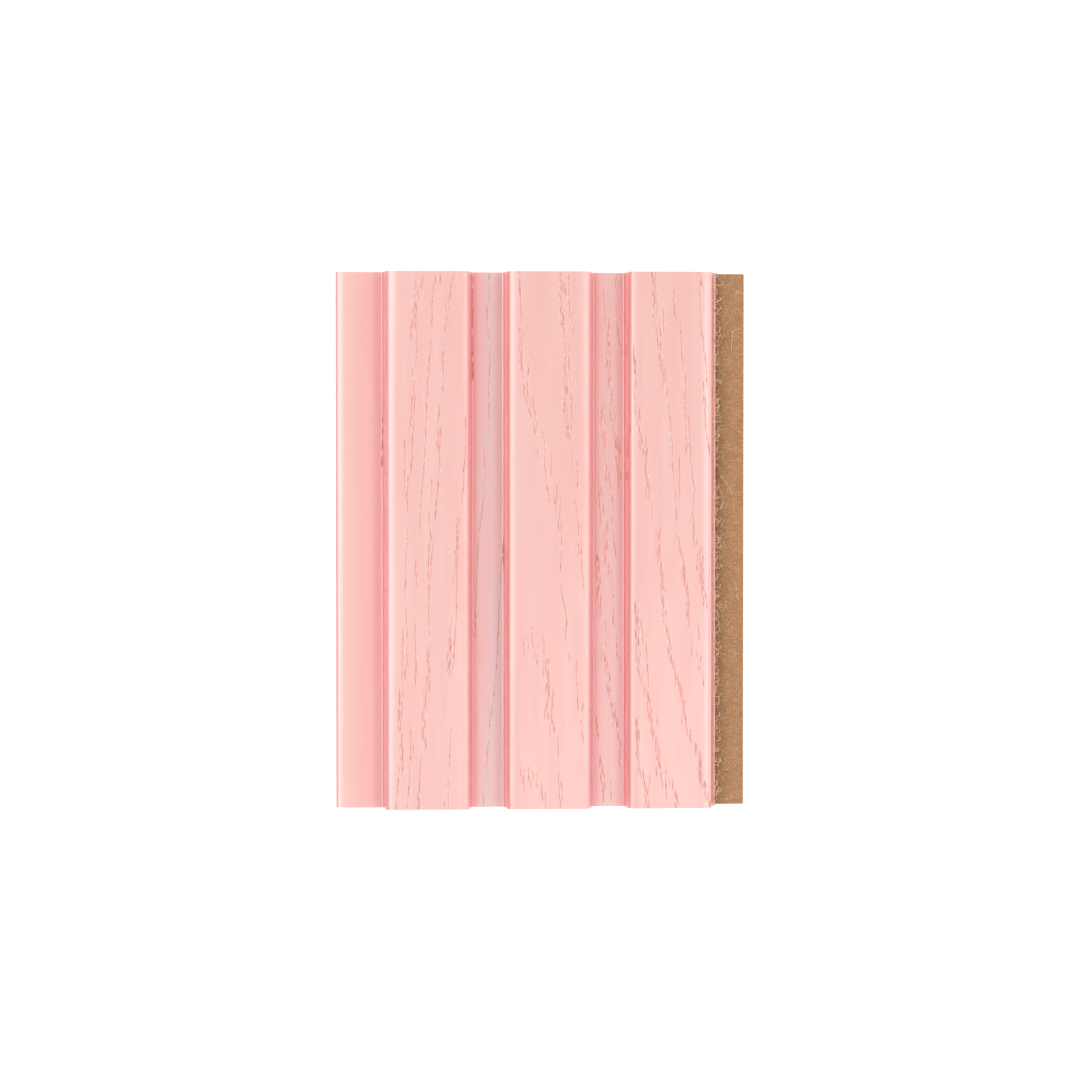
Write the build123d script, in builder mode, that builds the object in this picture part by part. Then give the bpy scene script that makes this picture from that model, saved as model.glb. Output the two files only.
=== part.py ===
import os
from math import radians, tan

from build123d import *

# Finished face of the panel, measured over the film
PANEL_LENGTH = 155
PANEL_THICKNESS = 16
SLAT_COUNT = 3
SLAT_WIDTH = 26
GROOVE_WIDTH = 9
GROOVE_DEPTH = 7
WALL_DRAFT = 10
TRIMMED_WALL_DRAFT = 16
ARRIS_RADIUS = 1.3
COVE_RADIUS = 0.5

# Gentle slope between each arris and the flat of its slat or lip
EASE_SLOPE = 10
SLAT_EASE_WIDTH = 2.3
SLAT_EASE_RADIUS = 15
LIP_EASE_WIDTH = 1.4
LIP_EASE_RADIUS = 7

# Decor film, hot-glued to the board
FILM_THICKNESS = 0.3

# Wrapped lip along the left edge, which slides into the slot of the next panel
LIP_WIDTH = 13.4
LIP_THICKNESS = 4.2
LIP_RADIUS = 0.9
FILM_TURN_UNDER = 4

# Raw flange along the right edge, which is nailed to the wall under the next panel's lip
FLANGE_REACH = 9.6
FLANGE_THICKNESS = 4.5
FLANGE_CHAMFER = 0.5
JOINT_CLEARANCE = 0.2

# What follows from the driving dimensions
pitch = SLAT_WIDTH + GROOVE_WIDTH
cover_width = SLAT_COUNT * pitch
panel_width = LIP_WIDTH + cover_width - GROOVE_WIDTH + FLANGE_REACH
left_edge = -panel_width / 2
right_edge = panel_width / 2
floor_level = PANEL_THICKNESS - GROOVE_DEPTH
lip_bottom = floor_level - LIP_THICKNESS
slat_ease_drop = SLAT_EASE_WIDTH * tan(radians(EASE_SLOPE))
lip_ease_drop = LIP_EASE_WIDTH * tan(radians(EASE_SLOPE))
wall_height = GROOVE_DEPTH - slat_ease_drop
wall_lean = wall_height * tan(radians(WALL_DRAFT))
trimmed_wall_lean = wall_height * tan(radians(TRIMMED_WALL_DRAFT))
first_foot = left_edge + LIP_WIDTH
last_foot = right_edge - FLANGE_REACH

# The rebate under the lip takes the next panel's flange, and the slot takes the next panel's lip
rebate_width = panel_width - cover_width + JOINT_CLEARANCE
slot_ceiling = floor_level + JOINT_CLEARANCE
slot_bottom = last_foot - (LIP_WIDTH - GROOVE_WIDTH) - JOINT_CLEARANCE

# Line of the finished face, from under the lip, over the slats and down the last wall to its foot
face_points = [
    (left_edge + FILM_TURN_UNDER, lip_bottom),
    (left_edge, lip_bottom),
    (left_edge, floor_level - lip_ease_drop),
    (left_edge + LIP_EASE_WIDTH, floor_level),
]
face_radii = [LIP_RADIUS, LIP_RADIUS, LIP_EASE_RADIUS]
for slat in range(SLAT_COUNT):
    foot = first_foot + slat * pitch
    near_shoulder = foot + wall_lean
    far_shoulder = foot + SLAT_WIDTH - wall_lean
    face_points += [
        (foot, floor_level),
        (near_shoulder, floor_level + wall_height),
        (near_shoulder + SLAT_EASE_WIDTH, PANEL_THICKNESS),
        (far_shoulder - SLAT_EASE_WIDTH, PANEL_THICKNESS),
        (far_shoulder, floor_level + wall_height),
        (foot + SLAT_WIDTH, floor_level),
    ]
    face_radii += [COVE_RADIUS, ARRIS_RADIUS, SLAT_EASE_RADIUS]
    face_radii += [SLAT_EASE_RADIUS, ARRIS_RADIUS, COVE_RADIUS]

# The last wall leans out further, and its foot has no floor beside it and so no cove
face_points[-1] = (far_shoulder + trimmed_wall_lean, floor_level)
face_radii.pop()

# Milled slot, cut after wrapping, which also trims the film on the last wall
with BuildSketch(Plane.XZ) as slot_section:
    with BuildLine():
        Polyline(
            (slot_bottom, FLANGE_THICKNESS),
            (right_edge, FLANGE_THICKNESS),
            (right_edge, slot_ceiling),
            (slot_bottom, slot_ceiling),
            close=True,
        )
    make_face()

# Film: a ribbon of even thickness on the inside of the face line, extruded along the panel
with BuildPart() as decor_film:
    with BuildSketch(Plane.XZ) as film_section:
        with BuildLine():
            FilletPolyline(*face_points, radius=face_radii)
            offset(amount=FILM_THICKNESS, side=Side.RIGHT)
        make_face()
        add(slot_section.sketch, mode=Mode.SUBTRACT)
    extrude(amount=PANEL_LENGTH / 2, both=True)

# Board: all that lies inside the film, with the rebate, the slot and the flange milled
with BuildPart() as mdf_board:
    with BuildSketch(Plane.XZ) as board_section:
        with BuildLine():
            face_line = FilletPolyline(*face_points, radius=face_radii)
            Polyline(
                face_line @ 1,
                (right_edge, floor_level),
                (right_edge, 0),
                (left_edge + rebate_width, 0),
                (left_edge + rebate_width, lip_bottom + FILM_THICKNESS),
                (left_edge + FILM_TURN_UNDER, lip_bottom + FILM_THICKNESS),
                face_line @ 0,
            )
        make_face()
        add(film_section.sketch, mode=Mode.SUBTRACT)
        add(slot_section.sketch, mode=Mode.SUBTRACT)
        chamfer(board_section.vertices().group_by(Axis.X)[-1], FLANGE_CHAMFER)
    extrude(amount=PANEL_LENGTH / 2, both=True)

os.makedirs("parts", exist_ok=True)
mdf_board.part.label = "mdf_board"
export_step(mdf_board.part, "parts/mdf_board.step")
decor_film.part.label = "decor_film"
export_step(decor_film.part, "parts/decor_film.step")
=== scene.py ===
import math
import random

import bmesh
import bpy
import numpy as np
from mathutils import Matrix, Vector
from mathutils.bvhtree import BVHTree
from mathutils.geometry import delaunay_2d_cdt


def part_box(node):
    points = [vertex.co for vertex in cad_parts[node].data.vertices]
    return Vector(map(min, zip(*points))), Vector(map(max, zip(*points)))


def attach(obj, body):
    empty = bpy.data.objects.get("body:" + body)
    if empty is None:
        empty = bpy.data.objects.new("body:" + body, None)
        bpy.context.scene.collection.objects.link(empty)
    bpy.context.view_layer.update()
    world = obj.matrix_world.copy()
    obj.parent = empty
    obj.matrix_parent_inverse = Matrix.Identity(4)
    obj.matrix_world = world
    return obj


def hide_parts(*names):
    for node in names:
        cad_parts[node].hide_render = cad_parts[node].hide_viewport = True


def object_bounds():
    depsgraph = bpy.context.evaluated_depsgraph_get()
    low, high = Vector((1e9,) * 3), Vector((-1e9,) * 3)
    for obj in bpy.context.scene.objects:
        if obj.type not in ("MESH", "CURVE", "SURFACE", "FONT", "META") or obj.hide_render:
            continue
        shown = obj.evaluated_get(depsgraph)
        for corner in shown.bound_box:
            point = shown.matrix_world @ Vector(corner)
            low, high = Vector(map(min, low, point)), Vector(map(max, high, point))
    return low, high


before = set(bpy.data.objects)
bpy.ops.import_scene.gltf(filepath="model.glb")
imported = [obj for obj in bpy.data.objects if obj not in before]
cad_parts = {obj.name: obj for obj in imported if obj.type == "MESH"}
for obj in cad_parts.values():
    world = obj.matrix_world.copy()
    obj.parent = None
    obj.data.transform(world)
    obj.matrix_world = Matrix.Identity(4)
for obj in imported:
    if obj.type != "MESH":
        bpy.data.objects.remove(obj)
cad_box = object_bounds()


# Board
# The core of the panel is one length of medium-density fibreboard, a dry-pressed mat of softwood fibres.
# A moulder mills its whole section. The flange, the slot, the back and the sawn ends stay bare.
MM = 0.001
FIBRE_WIDTH = 0.16 * MM
FIBRE_LENGTH = 1.6 * MM
FIBRE_ANGLES = (12, 71, 128)
MOTTLE_SIZE = 5 * MM
FIBRE_RELIEF = 0.05 * MM


def linear(hex_colour):
    """An sRGB hex colour as the linear RGBA that a shader takes."""
    channels = [int(hex_colour[i : i + 2], 16) / 255 for i in (1, 3, 5)]
    return [c / 12.92 if c <= 0.04045 else ((c + 0.055) / 1.055) ** 2.4 for c in channels] + [1]


def add_node(tree, kind, inputs=None, **settings):
    """A new node with its settings, where each input is a value or the socket that feeds it."""
    node = tree.nodes.new(kind)
    for name, value in settings.items():
        setattr(node, name, value)
    for name, value in (inputs or {}).items():
        if isinstance(value, bpy.types.NodeSocket):
            tree.links.new(value, node.inputs[name])
        else:
            node.inputs[name].default_value = value
    return node


def new_material(name):
    """A material with an empty node tree, and that tree."""
    material = bpy.data.materials.new(name)
    material.use_nodes = True
    material.node_tree.nodes.clear()
    return material, material.node_tree


# Raw MDF, milled: matt tan brown, with short pale and dark fibres that lie every way and a soft mottle.
# The fibres are drawn about twice as wide as real ones, so that they show in the render.
raw_mdf, mdf = new_material("raw_mdf_milled")
place = add_node(mdf, "ShaderNodeTexCoord").outputs["Object"]
fibre_layers = []
for angle in FIBRE_ANGLES:
    turned = add_node(
        mdf,
        "ShaderNodeMapping",
        {"Vector": place, "Rotation": (math.radians(angle / 2), 0, math.radians(angle))},
    )
    drawn = add_node(
        mdf,
        "ShaderNodeMapping",
        {
            "Vector": turned.outputs["Vector"],
            "Scale": (1 / FIBRE_LENGTH, 1 / FIBRE_WIDTH, 1 / FIBRE_WIDTH),
        },
    )
    fibres = add_node(
        mdf,
        "ShaderNodeTexNoise",
        {"Vector": drawn.outputs["Vector"], "Scale": 1, "Detail": 2, "Roughness": 0.6, "Distortion": 0.6},
    )
    fibre_layers.append(fibres.outputs["Fac"])
crossed = add_node(mdf, "ShaderNodeMath", {0: fibre_layers[0], 1: fibre_layers[1]}, operation="MAXIMUM")
matted = add_node(mdf, "ShaderNodeMath", {0: crossed.outputs[0], 1: fibre_layers[2]}, operation="ADD")
fibre_tone = add_node(
    mdf, "ShaderNodeMapRange", {"Value": matted.outputs[0], "From Min": 0.9, "From Max": 1.24}
)
mottle = add_node(
    mdf, "ShaderNodeTexNoise", {"Vector": place, "Scale": 1 / MOTTLE_SIZE, "Detail": 4, "Roughness": 0.6}
)
fibre_colour = add_node(mdf, "ShaderNodeValToRGB", {"Fac": fibre_tone.outputs["Result"]})
ramp = fibre_colour.color_ramp
ramp.elements[0].color = linear("#9C704E")
ramp.elements[1].color = linear("#D6AC85")
ramp.elements.new(0.5).color = linear("#BB8C65")
mottle_tone = add_node(
    mdf,
    "ShaderNodeMapRange",
    {"Value": mottle.outputs["Fac"], "From Min": 0.3, "From Max": 0.7, "To Min": 0.9, "To Max": 1.05},
)
board_colour = add_node(
    mdf,
    "ShaderNodeVectorMath",
    {0: fibre_colour.outputs["Color"], "Scale": mottle_tone.outputs["Result"]},
    operation="SCALE",
)
fibre_bump = add_node(
    mdf,
    "ShaderNodeBump",
    {"Height": fibre_tone.outputs["Result"], "Strength": 0.6, "Distance": FIBRE_RELIEF},
)
board_shader = add_node(
    mdf,
    "ShaderNodeBsdfPrincipled",
    {
        "Base Color": board_colour.outputs["Vector"],
        "Roughness": 0.88,
        "Specular IOR Level": 0.25,
        "Normal": fibre_bump.outputs["Normal"],
    },
)
add_node(mdf, "ShaderNodeOutputMaterial", {"Surface": board_shader.outputs["BSDF"]})

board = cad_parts["mdf_board"]
board.material_slots[0].material = raw_mdf
board_low, board_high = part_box("mdf_board")


# Film
# A sheet of pink plastic decor film, embossed with open ash pores that are inked in register.
# It is hot-glued round the lip and the slats in one pass, and trimmed at the foot of the last wall.
FILM_THICKNESS = 0.3 * MM
SLAT_COUNT = 3
SLAT_WIDTH = 26 * MM
GROOVE_WIDTH = 9 * MM
GROOVE_DEPTH = 7 * MM
WALL_DRAFT = math.radians(10)
BRIDGE_WIDTH = 0.35 * MM
BRIDGE_SLOPE = math.radians(12)
BRIDGE_RADIUS = 0.4 * MM
BRIDGE_SETBACK = 0.15 * MM
COVE_RADIUS = 0.15 * MM
ARRIS_RADIUS = 1.3 * MM
EASE_RADIUS = 15 * MM
EASE_SLOPE = math.radians(10)
EASE_WIDTH = 2.3 * MM
LIP_WIDTH = 13.4 * MM
LIP_RADIUS = 0.9 * MM
LIP_EASE_RADIUS = 10 * MM
LIP_EASE_WIDTH = 1.8 * MM
FILM_TURN_UNDER = 4 * MM
TRIM_RISE = 0.2 * MM
BURR_RISE = 0.15 * MM
BURR_SETBACK = 0.22 * MM
BURR_FLARE = 0.08 * MM
BURR_RADIUS = 0.1 * MM
ARC_STEP = math.radians(9)

film_low, film_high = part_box("decor_film")
half_length = film_high.y
panel_top = film_high.z
groove_floor = panel_top - GROOVE_DEPTH
first_foot = film_low.x + LIP_WIDTH
pitch = SLAT_WIDTH + GROOVE_WIDTH
ease_drop = EASE_WIDTH * math.tan(EASE_SLOPE)
lip_ease_drop = LIP_EASE_WIDTH * math.tan(EASE_SLOPE)
shoulder_lean = (GROOVE_DEPTH - ease_drop) * math.tan(WALL_DRAFT)
bridge_rise = BRIDGE_WIDTH * math.tan(BRIDGE_SLOPE)
bridge_lean = bridge_rise * math.tan(WALL_DRAFT)


def rounded_line(corners, radii):
    """Points and outward normals along straight runs whose corners are rounded."""
    first_run = (corners[1] - corners[0]).normalized()
    line = [(corners[0], Vector((-first_run.y, first_run.x)))]
    for before, corner, after, radius in zip(corners, corners[1:], corners[2:], radii):
        run_in = (corner - before).normalized()
        run_out = (after - corner).normalized()
        turn = math.atan2(run_in.cross(run_out), run_in.dot(run_out))
        start = corner - run_in * radius * math.tan(abs(turn) / 2)
        outward = Vector((-run_in.y, run_in.x))
        bend = math.copysign(radius, turn)
        centre = start + outward * bend
        steps = math.ceil(abs(turn) / ARC_STEP)
        for step in range(steps + 1):
            normal = Matrix.Rotation(turn * step / steps, 2) @ outward
            line.append((centre - normal * bend, normal))
    last_run = (corners[-1] - corners[-2]).normalized()
    line.append((corners[-1], Vector((-last_run.y, last_run.x))))
    return line


face_corners = [
    Vector((film_low.x + FILM_TURN_UNDER, film_low.z)),
    Vector((film_low.x, film_low.z)),
    Vector((film_low.x, groove_floor - lip_ease_drop)),
    Vector((film_low.x + LIP_EASE_WIDTH, groove_floor)),
]
face_radii = [LIP_RADIUS, LIP_RADIUS, LIP_EASE_RADIUS]
for slat in range(SLAT_COUNT):
    foot = first_foot + slat * pitch
    far_foot = foot + SLAT_WIDTH
    # The film doesn't quite reach into a corner at a wall's foot, but bridges it with a narrow slope.
    face_corners += [
        Vector((foot + bridge_lean + BRIDGE_SETBACK - BRIDGE_WIDTH, groove_floor)),
        Vector((foot + bridge_lean + BRIDGE_SETBACK, groove_floor + bridge_rise)),
        Vector((foot + shoulder_lean, panel_top - ease_drop)),
        Vector((foot + shoulder_lean + EASE_WIDTH, panel_top)),
        Vector((far_foot - shoulder_lean - EASE_WIDTH, panel_top)),
        Vector((far_foot - shoulder_lean, panel_top - ease_drop)),
        Vector((far_foot - bridge_lean, groove_floor + bridge_rise)),
        Vector((far_foot - bridge_lean + BRIDGE_WIDTH, groove_floor)),
    ]
    near_radii = [BRIDGE_RADIUS, COVE_RADIUS, ARRIS_RADIUS, EASE_RADIUS]
    face_radii += near_radii + near_radii[::-1]
# The trimmer leaves a small burr along the film's last edge, turned out from the wall.
trim_level = groove_floor + TRIM_RISE
face_corners[-2:] = [
    Vector((film_high.x - BURR_SETBACK, trim_level + BURR_RISE)),
    Vector((film_high.x + BURR_FLARE, trim_level)),
]
face_radii[-2:] = [BURR_RADIUS]
face_line = rounded_line(face_corners, face_radii)
station_place = np.array([point for point, normal in face_line])
station_normal = np.array([normal for point, normal in face_line])
station_across = np.concatenate([[0], np.cumsum(np.linalg.norm(np.diff(station_place, axis=0), axis=1))])
film_width = station_across[-1]

# Grain lines, read off the photograph and kept as its pixels. A stroke is a run of pores.
# The pixels are seen from straight above one point of the panel, so lower faces are drawn in towards it.
PIXEL = 0.2888 * MM
PANEL_CENTRE_PIXEL = Vector((542.3, 540.2))
UNDER_CAMERA_PIXEL = Vector((363, 461))
CAMERA_DISTANCE = 930 * MM

slat_strokes = [
    # First slat
    [(424, 273), (421, 291)],
    [(416, 319), (417, 353), (416, 365)],
    [(413, 373), (414, 385), (412, 406), (409, 436)],
    [(415, 399), (413, 431), (412, 462), (408, 482), (407, 499), (408, 513)],
    [(406, 528), (408, 536), (406, 553), (406, 572), (404, 597)],
    [(405, 439), (405, 472), (404, 489)],
    [(406, 609), (407, 633), (407, 662), (405, 675)],
    [(403, 627), (403, 655), (402, 677)],
    [(399, 776), (396, 809)],
    [(416, 557), (416, 583)],
    [(415, 626), (416, 665), (415, 683)],
    [(411, 747), (409, 782), (407, 809)],
    [(441, 272), (440, 282)],
    [(436, 281), (433, 295), (432, 325)],
    [(431, 342), (429, 368), (427, 399), (426, 431), (424, 468), (421, 502), (420, 529)],
    [(432, 483), (429, 519), (431, 541), (429, 550), (428, 576)],
    [(433, 542), (431, 565), (429, 596), (429, 636)],
    [(421, 759), (419, 790), (419, 809)],
    [(417, 792), (418, 809)],
    [(455, 272), (452, 283), (448, 313), (444, 329)],
    [(447, 301), (445, 315)],
    [(443, 349), (443, 373), (442, 395)],
    [(439, 448), (440, 473)],
    [(438, 481), (435, 519)],
    [(465, 418), (465, 452), (462, 498)],
    [(457, 521), (456, 550), (453, 582)],
    [(459, 522), (457, 565), (456, 616), (452, 672)],
    [(451, 619), (449, 645)],
    [(451, 729), (449, 765)],
    [(448, 777), (448, 809)],
    [(444, 800), (444, 809)],
    # Second slat
    [(519, 273), (521, 323), (519, 331)],
    [(534, 356), (534, 366)],
    [(528, 368), (528, 376)],
    [(523, 381), (524, 390)],
    [(527, 384), (527, 393)],
    [(524, 393), (526, 401)],
    [(529, 396), (530, 404)],
    [(527, 403), (529, 412)],
    [(533, 402), (534, 412)],
    [(530, 414), (532, 423)],
    [(535, 416), (537, 425)],
    [(533, 425), (535, 433)],
    [(542, 432), (544, 442), (544, 468)],
    [(537, 448), (538, 456)],
    [(551, 456), (551, 473)],
    [(545, 472), (549, 502)],
    [(557, 486), (556, 499)],
    [(553, 496), (557, 519)],
    [(560, 503), (558, 528)],
    [(561, 521), (561, 541), (560, 570)],
    [(564, 288), (565, 295)],
    [(568, 273), (569, 312)],
    [(572, 312), (573, 335)],
    [(563, 319), (565, 353), (564, 381)],
    [(570, 342), (568, 362), (570, 383)],
    [(571, 393), (571, 426)],
    [(572, 446), (572, 465)],
    [(577, 462), (577, 488)],
    [(574, 499), (578, 526), (578, 555)],
    [(581, 523), (581, 562), (583, 585)],
    [(560, 585), (563, 599), (566, 616), (565, 639)],
    [(568, 645), (569, 659)],
    [(577, 662), (576, 673), (578, 705)],
    [(583, 703), (581, 716), (583, 742)],
    [(523, 640), (524, 649)],
    [(528, 636), (528, 646)],
    [(532, 629), (532, 642), (537, 663)],
    [(543, 636), (544, 650), (543, 670)],
    [(553, 692), (551, 716), (554, 730)],
    [(550, 719), (549, 732)],
    [(558, 736), (558, 763)],
    [(558, 775), (560, 807)],
    [(561, 785), (562, 799)],
    [(520, 771), (521, 778)],
    [(524, 769), (524, 776)],
    [(528, 771), (529, 780)],
    [(532, 772), (533, 779)],
    [(536, 776), (537, 785)],
    [(523, 779), (524, 785)],
    [(530, 781), (531, 786)],
    [(541, 787), (543, 799)],
    [(545, 792), (545, 809)],
    # Third slat
    [(663, 305), (663, 328)],
    [(673, 295), (675, 319)],
    [(680, 326), (682, 361), (686, 385), (684, 396)],
    [(669, 409), (671, 433), (672, 452)],
    [(672, 462), (673, 479)],
    [(679, 458), (679, 496)],
    [(675, 493), (676, 519)],
    [(685, 399), (686, 451)],
    [(688, 416), (691, 462), (694, 491), (692, 519)],
    [(699, 291), (701, 331)],
    [(702, 333), (706, 369), (706, 385)],
    [(703, 383), (703, 398)],
    [(705, 399), (706, 431), (711, 459)],
    [(633, 345), (634, 372)],
    [(635, 360), (635, 384)],
    [(634, 388), (635, 415)],
    [(651, 503), (652, 516)],
    [(691, 636), (692, 650)],
    [(698, 627), (699, 636)],
    [(703, 673), (704, 686)],
    [(697, 555), (697, 569)],
    [(641, 619), (643, 642)],
    [(646, 647), (648, 683)],
    [(657, 713), (657, 723)],
    [(661, 772), (663, 786)],
    [(666, 765), (666, 793)],
    [(650, 779), (648, 792)],
    [(649, 802), (653, 807)],
]
strong_slat_strokes = [
    # First slat
    [(417, 283), (415, 309), (412, 336)],
    [(401, 689), (400, 719), (401, 742), (401, 773)],
    [(411, 727), (411, 747)],
    [(428, 649), (429, 672), (428, 687)],
    [(425, 690), (424, 713), (424, 747)],
    [(441, 405), (439, 432), (439, 448)],
    [(449, 645), (448, 672)],
    # Second slat
    [(522, 336), (519, 348), (523, 376)],
    [(558, 273), (561, 291), (562, 326)],
    [(565, 385), (566, 426), (569, 436)],
    [(547, 660), (547, 682), (546, 713)],
    # Third slat
    [(652, 273), (654, 285), (654, 322)],
    [(657, 328), (659, 339), (660, 361)],
    [(662, 365), (664, 373), (665, 392)],
    [(692, 519), (694, 538), (696, 545)],
    [(699, 273), (700, 286)],
    [(638, 411), (641, 445)],
    [(643, 438), (646, 455), (648, 495)],
    [(678, 537), (683, 563), (682, 577)],
    [(685, 569), (687, 600), (689, 623)],
    [(699, 656), (699, 670)],
    [(701, 549), (702, 579), (706, 606)],
    [(653, 730), (658, 755), (658, 772)],
    [(658, 530), (658, 553), (662, 577), (664, 619)],
    [(667, 629), (671, 656), (676, 679), (683, 700), (684, 719)],
    [(687, 720), (690, 736), (698, 755), (703, 779), (711, 807)],
    [(636, 605), (638, 659), (643, 680), (648, 702), (653, 730)],
    [(636, 717), (638, 733), (638, 759), (643, 779), (647, 807)],
    [(671, 782), (678, 809)],
    [(699, 763), (701, 783)],
]
groove_strokes = [
    # First groove
    [(489, 273), (489, 298), (486, 313)],
    [(487, 316), (490, 353), (489, 379), (488, 432)],
    [(484, 452), (485, 482), (481, 515), (478, 541), (477, 565), (475, 632)],
    [(503, 545), (500, 586), (498, 627), (497, 655), (493, 700)],
    [(492, 705), (489, 729)],
    [(488, 742), (486, 765)],
    [(483, 792), (483, 807)],
    # Second groove
    [(603, 275), (604, 308), (605, 319)],
    [(616, 276), (615, 285), (617, 328), (621, 351)],
    [(618, 438), (620, 453)],
    [(604, 445), (604, 453)],
    [(606, 466), (606, 479)],
    [(609, 475), (610, 483)],
    [(611, 491), (613, 505), (612, 519)],
    [(613, 532), (615, 553)],
    [(611, 569), (613, 597)],
    [(613, 607), (613, 625)],
    [(605, 623), (606, 642)],
    [(602, 645), (601, 659)],
    [(616, 639), (617, 656)],
    [(619, 659), (621, 673)],
    [(617, 726), (618, 736)],
    [(621, 743), (619, 762)],
    [(596, 717), (598, 740)],
    [(611, 785), (611, 795)],
]
strong_groove_strokes = [
    [(607, 321), (608, 348), (609, 383)],
    [(611, 391), (612, 411), (615, 441), (620, 485)],
    [(601, 408), (603, 439)],
    [(599, 479), (602, 519)],
    [(606, 523), (605, 538), (607, 573)],
    [(597, 555), (598, 579), (599, 616)],
    [(606, 656), (608, 679), (612, 700), (615, 725)],
    [(601, 756), (604, 802)],
]
WALL_STROKES = 5
WALL_STROKE_LENGTH = (8 * MM, 34 * MM)
WALL_DRIFT = 0.8 * MM
SOFT_SPREAD = 0.13 * MM
STRONG_SPREAD = 0.65 * MM
STRONG_COPIES = 2


def on_film(pixel, depth):
    """Where a photographed point at a depth below the slat tops lies on the film laid flat."""
    seen = Vector(pixel)
    level = seen + (seen - UNDER_CAMERA_PIXEL) * depth / CAMERA_DISTANCE
    across, along = (level - PANEL_CENTRE_PIXEL) * PIXEL
    face_starts = np.argmin(station_place[:, 0]) + 1
    return np.interp(across, station_place[face_starts:, 0], station_across[face_starts:]), -along


grain_lines = []
for strokes, depth, spread, copies in (
    (slat_strokes, 0, SOFT_SPREAD, 1),
    (strong_slat_strokes, 0, STRONG_SPREAD, STRONG_COPIES),
    (groove_strokes, GROOVE_DEPTH, SOFT_SPREAD, 1),
    (strong_groove_strokes, GROOVE_DEPTH, STRONG_SPREAD, STRONG_COPIES),
):
    for stroke in strokes * copies:
        grain_lines.append(([on_film(pixel, depth) for pixel in stroke], spread))

# The walls are too steep to read, so their grain runs on at the same spacing.
wall_random = random.Random(11)
for slat in range(SLAT_COUNT):
    foot = first_foot + slat * pitch
    for low_edge, high_edge in (
        (foot, foot + shoulder_lean),
        (foot + SLAT_WIDTH - shoulder_lean, foot + SLAT_WIDTH),
    ):
        wall_start = on_film(PANEL_CENTRE_PIXEL + Vector((low_edge / PIXEL, 0)), 0)[0]
        wall_end = on_film(PANEL_CENTRE_PIXEL + Vector((high_edge / PIXEL, 0)), 0)[0]
        for stroke in range(WALL_STROKES):
            across = wall_random.uniform(wall_start, wall_end)
            along = wall_random.uniform(-half_length, half_length)
            reach = wall_random.uniform(*WALL_STROKE_LENGTH)
            drift = wall_random.uniform(-WALL_DRIFT, WALL_DRIFT)
            ends = [(across, along), (across + drift, along - reach)]
            grain_lines.append((ends, SOFT_SPREAD))

grain_mesh = bpy.data.meshes.new("grain_lines")
grain_points = []
grain_edges = []
grain_spread = []
for line, spread in grain_lines:
    grain_edges += [(len(grain_points) + i, len(grain_points) + i + 1) for i in range(len(line) - 1)]
    grain_points += [(across, along, 0) for across, along in line]
    grain_spread += [spread] * len(line)
grain_mesh.from_pydata(grain_points, grain_edges, [])


def mark(mesh, name, values, domain="POINT"):
    """Keep a number for each point or face of a mesh."""
    mesh.attributes.new(name, "FLOAT", domain).data.foreach_set("value", values)


def new_object(name, data):
    """An object in the scene, at the origin."""
    made = bpy.data.objects.new(name, data)
    bpy.context.scene.collection.objects.link(made)
    return made


mark(grain_mesh, "spread", grain_spread)
grain = new_object("grain_lines", grain_mesh)

# One pore of unit size: a pointed trough with two points along its bottom.
pore_points = [(0, -0.5, 0), (0, 0.5, 0), (-0.5, 0, 0), (0.5, 0, 0), (0, -0.3, -1), (0, 0.3, -1)]
pore_faces = [(0, 4, 2), (4, 5, 2), (5, 1, 2), (0, 3, 4), (4, 3, 5), (5, 3, 1)]
pore_mesh = bpy.data.meshes.new("pore")
pore_mesh.from_pydata(pore_points, [], pore_faces)
pore = new_object("pore", pore_mesh)

# Embossed decor film, satin: pale warm pink, with rust-pink ink in the pores and faint long streaks.
# The satin skin gives soft cream lights along the arrises and the pores' far sides. Painted light and
# shade are laid over the pink on the lip, floors, walls, creases and flecks.
STREAK_WIDTH = 3 * MM
STREAK_LENGTH = 45 * MM
INK_SPOT = 2.5 * MM
INK_EDGE = 0.6
SKIN_GRAIN = 0.35 * MM
SKIN_RELIEF = 0.004 * MM
decor_film, skin = new_material("embossed_decor_film_satin")
place = add_node(skin, "ShaderNodeTexCoord").outputs["Object"]
drawn = add_node(
    skin,
    "ShaderNodeMapping",
    {"Vector": place, "Scale": (1 / STREAK_WIDTH, 1 / STREAK_LENGTH, 1 / STREAK_WIDTH)},
)
streak = add_node(
    skin,
    "ShaderNodeTexNoise",
    {"Vector": drawn.outputs["Vector"], "Scale": 1, "Detail": 3, "Roughness": 0.55},
)
streak_tone = add_node(
    skin, "ShaderNodeMapRange", {"Value": streak.outputs["Fac"], "From Min": 0.35, "From Max": 0.65}
)
pink = add_node(
    skin,
    "ShaderNodeMix",
    {"Factor": streak_tone.outputs["Result"], "A": linear("#F2BFB5"), "B": linear("#F2B7AF")},
    data_type="RGBA",
)
pressed = add_node(skin, "ShaderNodeAttribute", attribute_name="pressed").outputs["Fac"]
ink = add_node(skin, "ShaderNodeMath", {0: pressed, 1: INK_EDGE}, operation="POWER").outputs[0]
ink_change = add_node(skin, "ShaderNodeTexNoise", {"Vector": place, "Scale": 1 / INK_SPOT, "Detail": 1})
ink_tone = add_node(
    skin, "ShaderNodeMapRange", {"Value": ink_change.outputs["Fac"], "From Min": 0.4, "From Max": 0.6}
)
ink_colour = add_node(
    skin,
    "ShaderNodeMix",
    {"Factor": ink_tone.outputs["Result"], "A": linear("#DE6A42"), "B": linear("#C05A45")},
    data_type="RGBA",
)
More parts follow.
